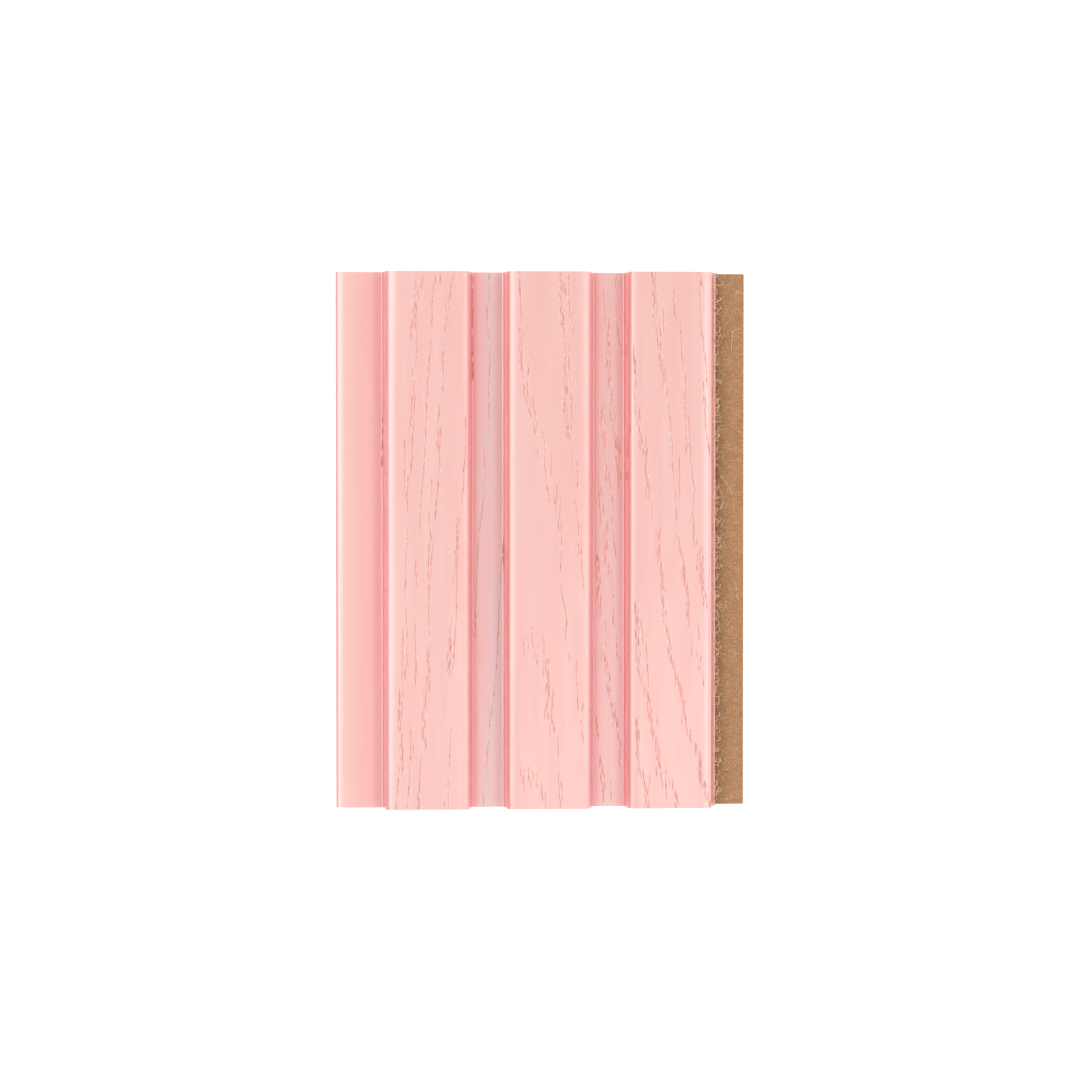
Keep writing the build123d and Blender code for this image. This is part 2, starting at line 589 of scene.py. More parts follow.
# Over the pink lie the painted light and shade of the lip, floors, walls and creases and the painted
# glints of the flecks, then the ink and the cut edge.
film_colour = pink.outputs["Result"]
for share, layer_colour in (
    ("lip_light", linear("#F7C3B9")),
    ("sunk", linear("#DFC3C1")),
    ("wall", linear("#FB8D90")),
    ("crease", linear("#FC9A9B")),
    ("fleck_glint", linear("#FFE6DA")),
    (ink, ink_colour.outputs["Result"]),
    ("trimmed", linear("#F3CDBF")),
):
    if isinstance(share, str):
        share = add_node(skin, "ShaderNodeAttribute", attribute_name=share).outputs["Fac"]
    layered = add_node(
        skin, "ShaderNodeMix", {"Factor": share, "A": film_colour, "B": layer_colour}, data_type="RGBA"
    )
    film_colour = layered.outputs["Result"]
skin_grain = add_node(
    skin, "ShaderNodeTexNoise", {"Vector": place, "Scale": 1 / SKIN_GRAIN, "Detail": 2}
)
skin_bump = add_node(
    skin,
    "ShaderNodeBump",
    {"Height": skin_grain.outputs["Fac"], "Strength": 0.5, "Distance": SKIN_RELIEF},
)
gloss = add_node(skin, "ShaderNodeMapRange", {"Value": ink, "To Min": 0.35, "To Max": 0.5})
film_shader = add_node(
    skin,
    "ShaderNodeBsdfPrincipled",
    {
        "Base Color": film_colour,
        "Roughness": gloss.outputs["Result"],
        "IOR": 1.5,
        "Coat Weight": 1,
        "Coat Roughness": 0.25,
        "Coat IOR": 1.7,
        "Normal": skin_bump.outputs["Normal"],
        "Coat Normal": skin_bump.outputs["Normal"],
    },
)
add_node(skin, "ShaderNodeOutputMaterial", {"Surface": film_shader.outputs["BSDF"]})

# Pores set end to end along every grain line, with small gaps, on the film laid flat.
PORE_PITCH = 1.1 * MM
PORE_LENGTH = (1.6 * MM, 3.8 * MM)
PORE_WIDTH = (0.22 * MM, 0.42 * MM)
PORE_DEPTH = (0.025 * MM, 0.06 * MM)
PORE_JITTER = 0.7 * MM
PORE_SKEW = math.radians(4)
PORE_SHARE_LEFT_OUT = 0.03


def new_tree(name, sockets):
    """A Geometry Nodes tree, the identifiers of its named inputs, and the inputs' sockets."""
    tree = bpy.data.node_groups.new(name, "GeometryNodeTree")
    identifiers = {}
    for socket_name, kind in sockets.items():
        socket = tree.interface.new_socket(socket_name, in_out="INPUT", socket_type="NodeSocket" + kind)
        identifiers[socket_name] = socket.identifier
    tree.interface.new_socket("Geometry", in_out="OUTPUT", socket_type="NodeSocketGeometry")
    return tree, identifiers, add_node(tree, "NodeGroupInput").outputs


pore_sockets = {
    "Geometry": "Geometry",
    "Pore": "Object",
    "Pitch": "Float",
    "Shortest": "Float",
    "Longest": "Float",
    "Narrowest": "Float",
    "Widest": "Float",
    "Shallowest": "Float",
    "Deepest": "Float",
    "Jitter": "Float",
    "Skew": "Float",
    "Share Left Out": "Float",
    "Seed": "Int",
    "Material": "Material",
}
pore_tree, pore_inputs, given = new_tree("pores_along_grain", pore_sockets)
runs = add_node(pore_tree, "GeometryNodeMeshToCurve", {"Mesh": given["Geometry"]})
smooth_runs = add_node(
    pore_tree, "GeometryNodeCurveSplineType", {"Curve": runs.outputs["Curve"]}, spline_type="CATMULL_ROM"
)
spots = add_node(
    pore_tree,
    "GeometryNodeCurveToPoints",
    {"Curve": smooth_runs.outputs["Curve"], "Length": given["Pitch"]},
    mode="LENGTH",
)
left_out = add_node(
    pore_tree,
    "FunctionNodeRandomValue",
    {"Probability": given["Share Left Out"], "Seed": given["Seed"]},
    data_type="BOOLEAN",
)
kept_spots = add_node(
    pore_tree,
    "GeometryNodeDeleteGeometry",
    {"Geometry": spots.outputs["Points"], "Selection": left_out.outputs[3]},
    domain="POINT",
)
spread = add_node(pore_tree, "GeometryNodeInputNamedAttribute", {"Name": "spread"}, data_type="FLOAT")
reach = add_node(
    pore_tree, "ShaderNodeCombineXYZ", {"X": spread.outputs["Attribute"], "Y": given["Jitter"]}
)
either_way = add_node(
    pore_tree,
    "FunctionNodeRandomValue",
    {0: (-1, -1, 0), 1: (1, 1, 0), "Seed": given["Seed"]},
    data_type="FLOAT_VECTOR",
)
scatter = add_node(
    pore_tree,
    "ShaderNodeVectorMath",
    {0: either_way.outputs[0], 1: reach.outputs["Vector"]},
    operation="MULTIPLY",
)
loose_spots = add_node(
    pore_tree,
    "GeometryNodeSetPosition",
    {"Geometry": kept_spots.outputs["Geometry"], "Offset": scatter.outputs["Vector"]},
)
pore_length = add_node(
    pore_tree,
    "FunctionNodeRandomValue",
    {2: given["Shortest"], 3: given["Longest"], "Seed": given["Seed"]},
    data_type="FLOAT",
)
pore_width = add_node(
    pore_tree,
    "FunctionNodeRandomValue",
    {2: given["Narrowest"], 3: given["Widest"], "Seed": given["Seed"]},
    data_type="FLOAT",
)
other_seed = add_node(pore_tree, "ShaderNodeMath", {0: given["Seed"], 1: 1}, operation="ADD")
pore_depth = add_node(
    pore_tree,
    "FunctionNodeRandomValue",
    {2: given["Shallowest"], 3: given["Deepest"], "Seed": other_seed.outputs[0]},
    data_type="FLOAT",
)
pore_size = add_node(
    pore_tree,
    "ShaderNodeCombineXYZ",
    {"X": pore_width.outputs[1], "Y": pore_length.outputs[1], "Z": pore_depth.outputs[1]},
)
skew_back = add_node(pore_tree, "ShaderNodeMath", {0: given["Skew"], 1: -1}, operation="MULTIPLY")
skew = add_node(
    pore_tree,
    "FunctionNodeRandomValue",
    {2: skew_back.outputs[0], 3: given["Skew"], "Seed": given["Seed"]},
    data_type="FLOAT",
)
skew_turn = add_node(pore_tree, "ShaderNodeCombineXYZ", {"Z": skew.outputs[1]})
pore_shape = add_node(pore_tree, "GeometryNodeObjectInfo", {"Object": given["Pore"]})
pores = add_node(
    pore_tree,
    "GeometryNodeInstanceOnPoints",
    {
        "Points": loose_spots.outputs["Geometry"],
        "Instance": pore_shape.outputs["Geometry"],
        "Rotation": skew_turn.outputs["Vector"],
        "Scale": pore_size.outputs["Vector"],
    },
)
real_pores = add_node(pore_tree, "GeometryNodeRealizeInstances", {"Geometry": pores.outputs["Instances"]})
inked_pores = add_node(
    pore_tree,
    "GeometryNodeSetMaterial",
    {"Geometry": real_pores.outputs["Geometry"], "Material": given["Material"]},
)
add_node(pore_tree, "NodeGroupOutput", {"Geometry": inked_pores.outputs["Geometry"]})


def run_tree(piece, tree, identifiers, values):
    """The plain mesh that a tree makes of a piece, with its inputs set before it first runs."""
    modifier = piece.modifiers.new(tree.name, "NODES")
    modifier.node_group = tree
    for name, value in values.items():
        modifier[identifiers[name]] = value
    evaluated = piece.evaluated_get(bpy.context.evaluated_depsgraph_get())
    mesh = bpy.data.meshes.new_from_object(evaluated)
    piece.modifiers.remove(modifier)
    return mesh


pore_values = {
    "Pore": pore,
    "Pitch": PORE_PITCH,
    "Shortest": PORE_LENGTH[0],
    "Longest": PORE_LENGTH[1],
    "Narrowest": PORE_WIDTH[0],
    "Widest": PORE_WIDTH[1],
    "Shallowest": PORE_DEPTH[0],
    "Deepest": PORE_DEPTH[1],
    "Jitter": PORE_JITTER,
    "Skew": PORE_SKEW,
    "Share Left Out": PORE_SHARE_LEFT_OUT,
    "Seed": 4,
    "Material": decor_film,
}
pore_pattern = run_tree(grain, pore_tree, pore_inputs, pore_values)

# Small flecks beside the pores, where the emboss pushes the film up. They are pores turned upside down.
FLECK_PITCH = 1.1 * MM
FLECK_LENGTH = (0.35 * MM, 1.1 * MM)
FLECK_WIDTH = (0.16 * MM, 0.28 * MM)
FLECK_HEIGHT = (0.02 * MM, 0.03 * MM)
FLECK_SPREAD = 0.35 * MM
fleck_spread = [spread + FLECK_SPREAD for spread in grain_spread]
grain_mesh.attributes["spread"].data.foreach_set("value", fleck_spread)
fleck_values = pore_values | {
    "Pitch": FLECK_PITCH,
    "Shortest": FLECK_LENGTH[0],
    "Longest": FLECK_LENGTH[1],
    "Narrowest": FLECK_WIDTH[0],
    "Widest": FLECK_WIDTH[1],
    "Shallowest": -FLECK_HEIGHT[0],
    "Deepest": -FLECK_HEIGHT[1],
    "Seed": 8,
}
fleck_pattern = run_tree(grain, pore_tree, pore_inputs, fleck_values)
bpy.data.objects.remove(grain)
bpy.data.objects.remove(pore)

# The flat film is cut along the pores and along every fold, then folded round the board.
pattern_points = []
pattern_faces = []
cut_edges = []
for marks in (pore_pattern, fleck_pattern):
    start = len(pattern_points)
    pattern_points += [v.co.copy() for v in marks.vertices]
    pattern_faces += [[start + i for i in p.vertices] for p in marks.polygons]
    cut_edges += [(start + a, start + b) for a, b in marks.edge_keys]
pattern = BVHTree.FromPolygons(pattern_points, pattern_faces)
cut_points = [point.xy for point in pattern_points]
for across in station_across:
    cut_edges.append((len(cut_points), len(cut_points) + 1))
    cut_points += [Vector((across, -half_length)), Vector((across, half_length))]
for along in (-half_length, half_length):
    cut_edges.append((len(cut_points), len(cut_points) + 1))
    cut_points += [Vector((0, along)), Vector((film_width, along))]
CUT_TOLERANCE = 1e-7
flat_points, flat_edges, flat_faces, *origins = delaunay_2d_cdt(
    cut_points, cut_edges, [], 0, CUT_TOLERANCE
)
flat = np.array([(p.x, p.y) for p in flat_points])
triangles = np.array(flat_faces)
middles = flat[triangles].mean(axis=1)
inside = (
    (middles[:, 0] > 0)
    & (middles[:, 0] < film_width)
    & (abs(middles[:, 1]) < half_length)
)
triangles = triangles[inside]
used, triangles = np.unique(triangles, return_inverse=True)
triangles = triangles.reshape(-1, 3)
flat = flat[used]

# Each cut point is pressed in as deep as the deepest pore over it.
depth = np.zeros(len(flat))
below = -2 * PORE_DEPTH[1]
for i, (across, along) in enumerate(flat):
    hit, normal, face, distance = pattern.ray_cast(Vector((across, along, below)), Vector((0, 0, 1)))
    if hit is not None:
        depth[i] = -hit.z


def folded(across, along, depth):
    """Points of the flat film once it is wrapped, sunk by a depth below its face."""
    place_x = np.interp(across, station_across, station_place[:, 0])
    place_z = np.interp(across, station_across, station_place[:, 1])
    normal_x = np.interp(across, station_across, station_normal[:, 0])
    normal_z = np.interp(across, station_across, station_normal[:, 1])
    return np.stack([place_x - normal_x * depth, along, place_z - normal_z * depth], axis=1)


def face_normals(across):
    """Outward normals of the wrapped film at places across it."""
    normal_x = np.interp(across, station_across, station_normal[:, 0])
    normal_z = np.interp(across, station_across, station_normal[:, 1])
    long = np.hypot(normal_x, normal_z)
    return np.stack([normal_x / long, np.zeros(len(across)), normal_z / long], axis=1)


outer = folded(flat[:, 0], flat[:, 1], depth)
first_side = flat[triangles[:, 1]] - flat[triangles[:, 0]]
second_side = flat[triangles[:, 2]] - flat[triangles[:, 0]]
inward = first_side[:, 0] * second_side[:, 1] < first_side[:, 1] * second_side[:, 0]
triangles[inward] = triangles[inward][:, ::-1]

# The back of the film follows the same folds, and a narrow rim closes it all round.
face_edges = {}
for a, b, c in triangles.tolist():
    for edge in ((a, b), (b, c), (c, a)):
        face_edges[edge] = True
rim_edges = [edge for edge in face_edges if edge[::-1] not in face_edges]
rim_points = sorted({i for edge in rim_edges for i in edge})
back_index = {point: len(outer) + i for i, point in enumerate(rim_points)}
back = folded(flat[rim_points, 0], flat[rim_points, 1], np.full(len(rim_points), FILM_THICKNESS))
film_points = np.concatenate([outer, back])
flat_all = np.concatenate([flat, flat[rim_points]])
rim_faces = [(a, back_index[a], back_index[b], b) for a, b in rim_edges]
by_across = sorted(rim_points, key=lambda i: flat[i, 0])
by_along = sorted(rim_points, key=lambda i: flat[i, 1])
near_rim = [i for i in by_across if flat[i, 1] < -half_length + CUT_TOLERANCE]
far_rim = [i for i in by_across if flat[i, 1] > half_length - CUT_TOLERANCE]
start_rim = [i for i in by_along if flat[i, 0] < CUT_TOLERANCE]
end_rim = [i for i in by_along if flat[i, 0] > film_width - CUT_TOLERANCE]
back_faces = []
for strip, (start, end) in enumerate(zip(station_across, station_across[1:])):
    near = [i for i in near_rim if start - CUT_TOLERANCE <= flat[i, 0] <= end + CUT_TOLERANCE]
    far = [i for i in far_rim if start - CUT_TOLERANCE <= flat[i, 0] <= end + CUT_TOLERANCE]
    rising = end_rim[1:-1] if strip == len(station_across) - 2 else []
    falling = start_rim[-2:0:-1] if strip == 0 else []
    back_faces.append([back_index[i] for i in near + rising + far[::-1] + falling][::-1])
film_faces = triangles.tolist() + rim_faces + back_faces

film_mesh = bpy.data.meshes.new("embossed_film")
film_mesh.from_pydata(film_points.tolist(), [], film_faces)
film_mesh.shade_smooth()
all_depth = np.concatenate([depth, np.zeros(len(back))])
mark(film_mesh, "pressed", np.clip(all_depth / PORE_DEPTH[1], 0, 1))
# Painted highlight: the flecks are drawn cream, as if they glint.
mark(film_mesh, "fleck_glint", np.clip(-all_depth / FLECK_HEIGHT[1], 0, 1))
# Painted shade: the film's pink is drawn deeper down the walls, where the grooves hold their shade and
# pink bounce light, but not on the burr. Steepness is 0 to 1.
LEFT_WALL_SHADE = (0.06, 0.45)
RIGHT_WALL_SHADE = (0.4, 0.8)
BURR_REACH = 1.2 * BURR_RISE
outward = face_normals(flat_all[:, 0])
steep = 1 - np.clip(outward[:, 2], 0, 1)
facing_left = np.clip((steep - LEFT_WALL_SHADE[0]) / (LEFT_WALL_SHADE[1] - LEFT_WALL_SHADE[0]), 0, 1)
facing_right = np.clip((steep - RIGHT_WALL_SHADE[0]) / (RIGHT_WALL_SHADE[1] - RIGHT_WALL_SHADE[0]), 0, 1)
wall_shade = np.where(outward[:, 0] < 0, facing_left, facing_right)
on_burr = (film_points[:, 0] > far_foot) & (film_points[:, 2] < trim_level + BURR_REACH)
wall_shade[on_burr] = 0
mark(film_mesh, "wall", wall_shade)
# Painted shade: the groove floors are drawn a cooler, greyer pink along their middles, the first more
# than the second, so that their edges by the walls read pinker.
FLOOR_SHADES = ((1, 2.5 * MM, 1 * MM), (0.55, 2.5 * MM, 3 * MM))
sunk = np.zeros(len(film_points))
for groove, (share, left_fade, right_fade) in enumerate(FLOOR_SHADES):
    from_foot = film_points[:, 0] - first_foot - groove * pitch - SLAT_WIDTH
    rise = np.minimum(from_foot / left_fade, (GROOVE_WIDTH - from_foot) / right_fade)
    sunk += share * np.clip(rise, 0, 1)
mark(film_mesh, "sunk", sunk)
# The film isn't stretched over the lip, so it is a little paler there.
# Painted light: the film is drawn a little paler on the lip, to make up for the shade that the first slat
# throws on it.
LIP_FADE = 2 * MM
lip_light = np.clip((first_foot - film_points[:, 0]) / LIP_FADE, 0, 1)
mark(film_mesh, "lip_light", lip_light)
# Pink light that the walls throw on the floors is drawn in the film, since it fades from each foot.
LEFT_CREASE_SHARES = (1, 0.06, 0.9)
LEFT_CREASE_REACH = 0.35 * MM
RIGHT_CREASE = (0.7, 1.3 * MM)
crease = np.zeros(len(film_points))
for slat, share in enumerate(LEFT_CREASE_SHARES):
    foot = first_foot + slat * pitch
    crease = np.maximum(crease, share * np.exp(-abs(film_points[:, 0] - foot) / LEFT_CREASE_REACH))
    if slat < SLAT_COUNT - 1:
        share, reach = RIGHT_CREASE
        crease = np.maximum(crease, share * np.exp(-abs(film_points[:, 0] - foot - SLAT_WIDTH) / reach))
mark(film_mesh, "crease", crease)
trimmed_faces = np.zeros(len(film_faces))
trimmed_faces[len(triangles) :] = 1
mark(film_mesh, "trimmed", trimmed_faces, "FACE")

# Plain faces take the fold's own normals, and the pores keep their facets.
loop_points = np.empty(len(film_mesh.loops), int)
film_mesh.loops.foreach_get("vertex_index", loop_points)
loop_totals = np.array([len(face) for face in film_faces])
loop_faces = np.repeat(np.arange(len(film_faces)), loop_totals)
facet_normals = np.empty(len(film_faces) * 3)
film_mesh.polygons.foreach_get("normal", facet_normals)
loop_normals = facet_normals.reshape(-1, 3)[loop_faces]
plain = np.zeros(len(film_faces), bool)
plain[: len(triangles)] = abs(depth[triangles]).max(axis=1) < CUT_TOLERANCE
smooth_loops = plain[loop_faces]
loop_normals[smooth_loops] = face_normals(flat_all[loop_points[smooth_loops], 0])
film_mesh.normals_split_custom_set(loop_normals.tolist())

film = new_object("embossed_film", film_mesh)
film.data.materials.append(decor_film)
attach(film, "root")
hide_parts("decor_film")


# Loose fibres
# Softwood fibres torn up by the moulder and the film trimmer stand along the film's trimmed edge
# and lie on the raw flange, with a few long hairs. They are drawn thicker than real ones to show.
FRINGE_WIDTH = 0.5 * MM
FRINGE_DROP = 0.1 * MM
LINT_WIDTH = 3 * MM
LINT_LIFT = 0.05 * MM
THIN_LINT_LIFT = 0.03 * MM
FLANGE_LEVEL = 4.5 * MM
FLANGE_MARGIN = 0.8 * MM
END_MARGIN = 0.5 * MM
WAVE_LENGTH = 1 * MM
LOOSE_HAIRS = [
    [(717, 473), (720, 475), (724, 481), (727, 485), (732, 494)],
    [(731, 351), (732, 333), (735, 330), (741, 329)],
    [(735, 293), (739, 290)],
    [(738, 431), (742, 432)],
    [(736, 587), (737, 590)],
    [(736, 595), (739, 600)],
    [(718, 488), (722, 497), (722, 505), (720, 508)],
    [(717, 601), (721, 602), (721, 606), (717, 608), (716, 604)],
    [(716, 766), (719, 770), (718, 777), (717, 788), (716, 797)],
]
# Bare wood fibre: straw colour, dull, lighter than the board because it stands up into the light.
wood_fibre, straw = new_material("bare_wood_fibre")
straw_shader = add_node(
    straw, "ShaderNodeBsdfPrincipled", {"Base Color": linear("#FDDAAF"), "Roughness": 0.8}
)
add_node(straw, "ShaderNodeOutputMaterial", {"Surface": straw_shader.outputs["BSDF"]})

# Painted shade: wood fibre drawn dark brown and a little shiny, standing for the shadow between the
# fringe's curls at the trimmed edge.
fringe_shadow_fibre, shadow_tree = new_material("painted_shadow_fibre")
shadow_shader = add_node(
    shadow_tree, "ShaderNodeBsdfPrincipled", {"Base Color": linear("#8E5030"), "Roughness": 0.6}
)
add_node(shadow_tree, "ShaderNodeOutputMaterial", {"Surface": shadow_shader.outputs["BSDF"]})

# One curl of unit length, as a run of points.
curl_points = [
    (0, 0, 0),
    (0.3, 0.02, 0.12),
    (0.62, 0.12, 0.16),
    (0.86, 0.34, 0.1),
    (0.88, 0.62, 0),
    (0.7, 0.8, -0.06),
]
curl_mesh = bpy.data.meshes.new("curl")
curl_mesh.from_pydata(curl_points, [(i, i + 1) for i in range(len(curl_points) - 1)], [])
curl = new_object("curl", curl_mesh)

curl_sockets = {
    "Geometry": "Geometry",
    "Curl": "Object",
    "Density": "Float",
    "Shortest": "Float",
    "Longest": "Float",
    "Least Turn": "Vector",
    "Most Turn": "Vector",
    "Wave": "Float",
    "Thickness": "Float",
    "Seed": "Int",
    "Material": "Material",
}
curl_tree, curl_inputs, given = new_tree("curls_on_faces", curl_sockets)
roots = add_node(
    curl_tree,
    "GeometryNodeDistributePointsOnFaces",
    {"Mesh": given["Geometry"], "Density": given["Density"], "Seed": given["Seed"]},
)
turn = add_node(
    curl_tree,
    "FunctionNodeRandomValue",
    {0: given["Least Turn"], 1: given["Most Turn"], "Seed": given["Seed"]},
    data_type="FLOAT_VECTOR",
)
reach = add_node(
    curl_tree,
    "FunctionNodeRandomValue",
    {2: given["Shortest"], 3: given["Longest"], "Seed": given["Seed"]},
    data_type="FLOAT",
)
curl_shape = add_node(curl_tree, "GeometryNodeObjectInfo", {"Object": given["Curl"]})
curls = add_node(
    curl_tree,
    "GeometryNodeInstanceOnPoints",
    {
        "Points": roots.outputs["Points"],
        "Instance": curl_shape.outputs["Geometry"],
        "Rotation": turn.outputs[0],
        "Scale": reach.outputs[1],
    },
)
real_curls = add_node(curl_tree, "GeometryNodeRealizeInstances", {"Geometry": curls.outputs["Instances"]})
curl_runs = add_node(curl_tree, "GeometryNodeMeshToCurve", {"Mesh": real_curls.outputs["Geometry"]})
wave = add_node(curl_tree, "ShaderNodeTexNoise", {"Scale": 1 / WAVE_LENGTH, "Detail": 0})
centred = add_node(
    curl_tree,
    "ShaderNodeVectorMath",
    {0: wave.outputs["Color"], 1: (0.5, 0.5, 0.5)},
    operation="SUBTRACT",
)
shift = add_node(
    curl_tree,
    "ShaderNodeVectorMath",
    {0: centred.outputs["Vector"], "Scale": given["Wave"]},
    operation="SCALE",
)
waved = add_node(
    curl_tree,
    "GeometryNodeSetPosition",
    {"Geometry": curl_runs.outputs["Curve"], "Offset": shift.outputs["Vector"]},
)


def finish_fibres(tree, line, given, points, sides):
    """End a tree with round fibres drawn along a line, as real mesh with its material."""
    smooth = add_node(tree, "GeometryNodeCurveSplineType", {"Curve": line}, spline_type="CATMULL_ROM")
    even = add_node(
        tree, "GeometryNodeResampleCurve", {"Curve": smooth.outputs["Curve"], "Count": points}
    )
    section = add_node(
        tree, "GeometryNodeCurvePrimitiveCircle", {"Resolution": sides, "Radius": given["Thickness"]}
    )
    tubes = add_node(
        tree,
        "GeometryNodeCurveToMesh",
        {"Curve": even.outputs["Curve"], "Profile Curve": section.outputs["Curve"], "Fill Caps": True},
    )
    solid = add_node(tree, "GeometryNodeRealizeInstances", {"Geometry": tubes.outputs["Mesh"]})
    coloured = add_node(
        tree,
        "GeometryNodeSetMaterial",
        {"Geometry": solid.outputs["Geometry"], "Material": given["Material"]},
    )
    add_node(tree, "NodeGroupOutput", {"Geometry": coloured.outputs["Geometry"]})


finish_fibres(curl_tree, waved.outputs["Geometry"], given, points=10, sides=4)

hair_sockets = {"Geometry": "Geometry", "Thickness": "Float", "Material": "Material"}
hair_tree, hair_inputs, given = new_tree("hairs_along_lines", hair_sockets)
hair_runs = add_node(hair_tree, "GeometryNodeMeshToCurve", {"Mesh": given["Geometry"]})
finish_fibres(hair_tree, hair_runs.outputs["Curve"], given, points=24, sides=5)

FULL_TURN = 6.28
trim_x = face_corners[-1].x
fibre_beds = (
    # The fringe stands along the trimmed edge and leans out over the flange.
    (
        (trim_x - FRINGE_WIDTH, trim_x, trim_level - FRINGE_DROP),
        {
            "Density": 2.0 / MM**2,
            "Shortest": 0.8 * MM,
            "Longest": 2.2 * MM,
            "Least Turn": (-0.8, -0.2, -1.5),
            "Most Turn": (0.8, 0.9, 1.1),
            "Wave": 0.5 * MM,
            "Thickness": 0.08 * MM,
            "Seed": 3,
            "Material": wood_fibre,
        },
    ),
    # Painted shade: short dark fibres between them stand for the shadow among the curls.
    (
        (trim_x - FRINGE_WIDTH, trim_x, trim_level - FRINGE_DROP),
        {
            "Density": 2.4 / MM**2,
            "Shortest": 0.5 * MM,
            "Longest": 1.2 * MM,
            "Least Turn": (-0.8, -0.1, -1.2),
            "Most Turn": (0.8, 0.9, 1.0),
            "Wave": 0.4 * MM,
            "Thickness": 0.08 * MM,
            "Seed": 7,
            "Material": fringe_shadow_fibre,
        },
    ),
    # Lint lies flat on the flange, thickest near the wall.
    (
        (trim_x - FRINGE_WIDTH, trim_x + LINT_WIDTH, FLANGE_LEVEL + LINT_LIFT),
        {
            "Density": 0.9 / MM**2,
            "Shortest": 0.6 * MM,
            "Longest": 1.9 * MM,
            "Least Turn": (-0.1, -0.1, 0),
            "Most Turn": (0.1, 0.1, FULL_TURN),
            "Wave": 0.6 * MM,
            "Thickness": 0.045 * MM,
            "Seed": 5,
            "Material": wood_fibre,
        },
    ),
    (
        (trim_x + LINT_WIDTH, board_high.x - FLANGE_MARGIN, FLANGE_LEVEL + THIN_LINT_LIFT),
        {
            "Density": 0.35 / MM**2,
            "Shortest": 0.5 * MM,
            "Longest": 1.6 * MM,
            "Least Turn": (-0.05, -0.05, 0),
            "Most Turn": (0.05, 0.05, FULL_TURN),
            "Wave": 0.6 * MM,
            "Thickness": 0.035 * MM,
            "Seed": 9,
            "Material": wood_fibre,
        },
    ),
)
fibre_meshes = []
bed_ends = half_length - END_MARGIN
for (bed_start, bed_end, level), settings in fibre_beds:
    bed_mesh = bpy.data.meshes.new("fibre_bed")
    bed_mesh.from_pydata(
        [
            (bed_start, -bed_ends, level),
            (bed_end, -bed_ends, level),
            (bed_end, bed_ends, level),
            (bed_start, bed_ends, level),
        ],
        [],
        [(0, 1, 2, 3)],
    )
    bed = new_object("fibre_bed", bed_mesh)
    settings["Curl"] = curl
    fibre_meshes.append(run_tree(bed, curl_tree, curl_inputs, settings))
    bpy.data.objects.remove(bed)
bpy.data.objects.remove(curl)

HAIR_LIFT = 1.2 * MM
HAIR_REST = 0.1 * MM
HAIR_THICKNESS = 0.08 * MM
hair_points = []
hair_edges = []
for hair in LOOSE_HAIRS:
    hair_edges += [(len(hair_points) + i, len(hair_points) + i + 1) for i in range(len(hair) - 1)]
    for number, pixel in enumerate(hair):
        seen = Vector(pixel)
        level = seen + (seen - UNDER_CAMERA_PIXEL) * (panel_top - FLANGE_LEVEL) / CAMERA_DISTANCE
        across, along = (level - PANEL_CENTRE_PIXEL) * PIXEL
        lift = HAIR_LIFT * math.sin(math.pi * number / (len(hair) - 1))
        hair_points.append((across, -along, FLANGE_LEVEL + HAIR_REST + lift))
hair_mesh = bpy.data.meshes.new("hair_lines")
hair_mesh.from_pydata(hair_points, hair_edges, [])
hairs = new_object("hair_lines", hair_mesh)
hair_values = {"Thickness": HAIR_THICKNESS, "Material": wood_fibre}
fibre_meshes.append(run_tree(hairs, hair_tree, hair_inputs, hair_values))
bpy.data.objects.remove(hairs)

joined = bmesh.new()
# The painted-shadow fibres take the second material.
for mesh in fibre_meshes:
    in_shadow = mesh.materials[0] == fringe_shadow_fibre
    first_new = len(joined.faces)
    joined.from_mesh(mesh)
    joined.faces.ensure_lookup_table()
    for face in joined.faces[first_new:]:
        face.material_index = int(in_shadow)
bmesh.ops.recalc_face_normals(joined, faces=joined.faces)
fibre_mesh = bpy.data.meshes.new("loose_fibres")
joined.to_mesh(fibre_mesh)
joined.free()
fibre_mesh.shade_smooth()
fibre_mesh.materials.append(wood_fibre)
fibre_mesh.materials.append(fringe_shadow_fibre)
loose_fibres = new_object("loose_fibres", fibre_mesh)
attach(loose_fibres, "root")


# Studio
# A sheet of white paper under a small softbox, with strip lights above either side of the panel
# that run along the slats, and large panels low down on both sides that light the walls.
FLOOR_REACH = 20
FLOOR_DROP = 0.05 * MM
PAPER_LIFT = 0.72
ROOM_LIGHT = 0.36
floor_corners = [
    (-FLOOR_REACH, -FLOOR_REACH, 0),
    (FLOOR_REACH, -FLOOR_REACH, 0),
    (FLOOR_REACH, FLOOR_REACH, 0),
    (-FLOOR_REACH, FLOOR_REACH, 0),
]
floor_mesh = bpy.data.meshes.new("floor")
floor_mesh.from_pydata(floor_corners, [], [(0, 1, 2, 3)])
floor = new_object("floor", floor_mesh)
floor.location.z = cad_box[0].z - FLOOR_DROP
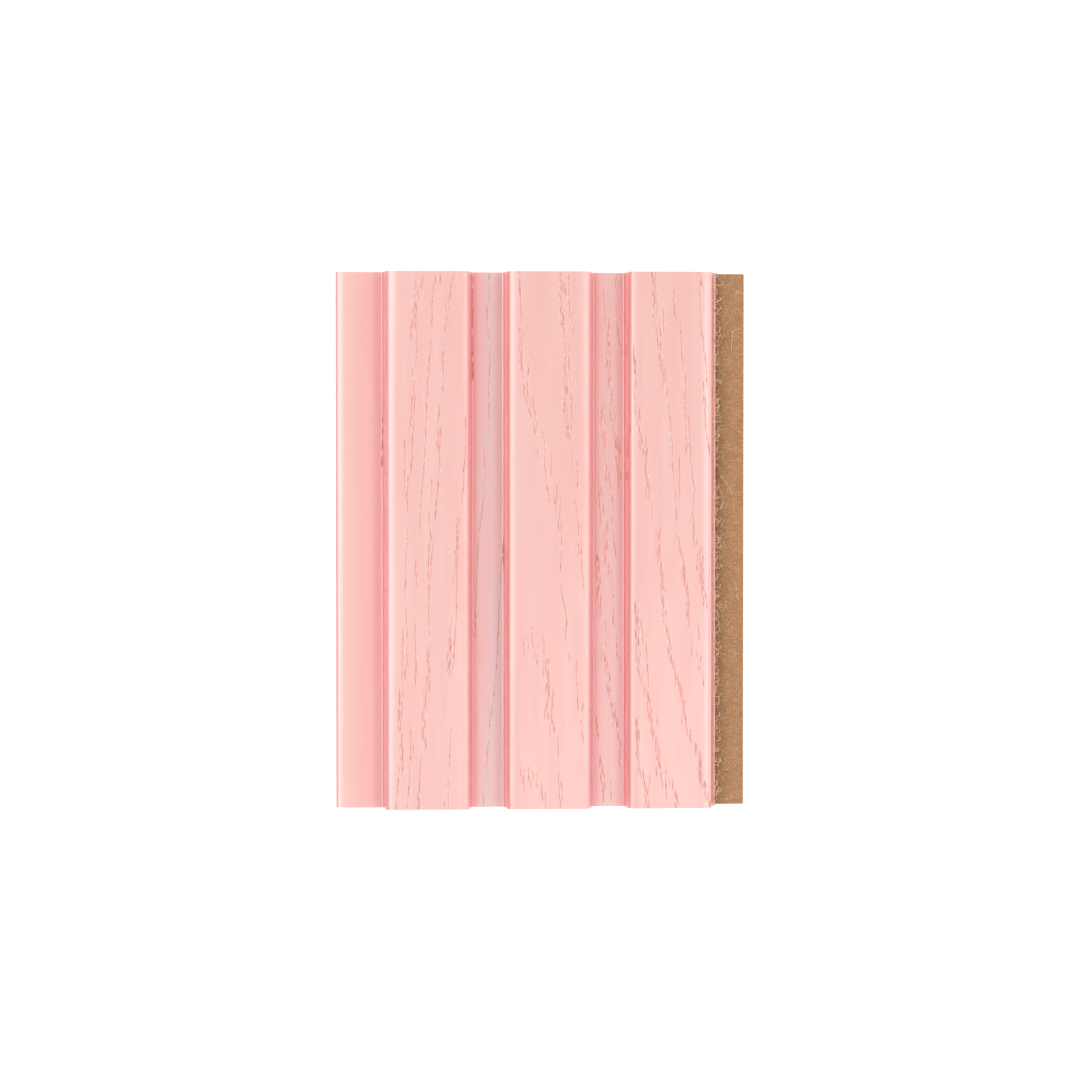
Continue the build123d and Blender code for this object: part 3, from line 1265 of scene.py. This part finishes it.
# White paper, matt: it keeps the shadow, and where the camera sees it, it is lifted to white.
white_floor, paper = new_material("white_paper_floor")
paper_light = add_node(paper, "ShaderNodeBsdfDiffuse", {"Color": linear("#D8D8D8")})
rays = add_node(paper, "ShaderNodeLightPath").outputs
mirrored = add_node(
    paper,
    "ShaderNodeMath",
    {0: rays["Is Glossy Ray"], 1: rays["Is Transmission Ray"]},
    operation="MAXIMUM",
)
seen_ray = add_node(
    paper, "ShaderNodeMath", {0: rays["Is Camera Ray"], 1: mirrored.outputs[0]}, operation="MAXIMUM"
)
lift = add_node(paper, "ShaderNodeMath", {0: seen_ray.outputs[0], 1: PAPER_LIFT}, operation="MULTIPLY")
paper_lift = add_node(paper, "ShaderNodeEmission", {"Strength": lift.outputs[0]})
paper_sum = add_node(paper, "ShaderNodeAddShader", {0: paper_light.outputs[0], 1: paper_lift.outputs[0]})
add_node(paper, "ShaderNodeOutputMaterial", {"Surface": paper_sum.outputs[0]})
floor_mesh.materials.append(white_floor)

world = bpy.data.worlds.new("studio")
bpy.context.scene.world = world
world.use_nodes = True
sky = world.node_tree
sky.nodes.clear()
room = add_node(sky, "ShaderNodeBackground", {"Color": (1, 1, 1, 1), "Strength": ROOM_LIGHT})
add_node(sky, "ShaderNodeOutputWorld", {"Surface": room.outputs[0]})

for name, spot, width, length, power in (
    ("overhead_softbox", (0.22, -0.32, 1.55), 0.4, 0.4, 1.2),
    ("left_inner_strip", (-0.22, 0, 1.1), 0.16, 1.2, 0.5),
    ("left_strip", (-0.43, 0.08, 1.05), 0.3, 1.2, 5.0),
    ("right_strip", (0.53, 0.05, 1.0), 0.24, 1.2, 3.3),
    ("left_side_light", (-1.05, 0, 0.42), 0.75, 2.6, 2.4),
    ("right_side_light", (1.05, 0.1, 0.42), 0.75, 2.6, 5.6),
):
    lamp = bpy.data.lights.new(name, "AREA")
    lamp.shape = "RECTANGLE"
    lamp.size = length
    lamp.size_y = width
    lamp.energy = power
    stand = new_object(name, lamp)
    stand.location = spot
    stand.rotation_euler = (-Vector(spot)).to_track_quat("-Z", "Y").to_euler()


# Camera
# It stands about a metre above the panel, over its left part, and looks almost straight down.
# Its place and lens were fitted to the panel's outline in the photograph.
EYE = Vector((-51.5, 22.8, 944.8)) * MM
AIM = Vector((-0.76, 0.2, 16)) * MM
LENS = 107.7
lens = bpy.data.cameras.new("camera")
lens.lens = LENS
lens.sensor_width = 36
camera = new_object("camera", lens)
back_axis = (EYE - AIM).normalized()
right_axis = Vector((0, 1, 0)).cross(back_axis).normalized()
up_axis = back_axis.cross(right_axis)
turned = Matrix((right_axis, up_axis, back_axis)).transposed().to_4x4()
camera.matrix_world = Matrix.Translation(EYE) @ turned
bpy.context.scene.camera = camera
bpy.context.scene.view_settings.view_transform = "Standard"
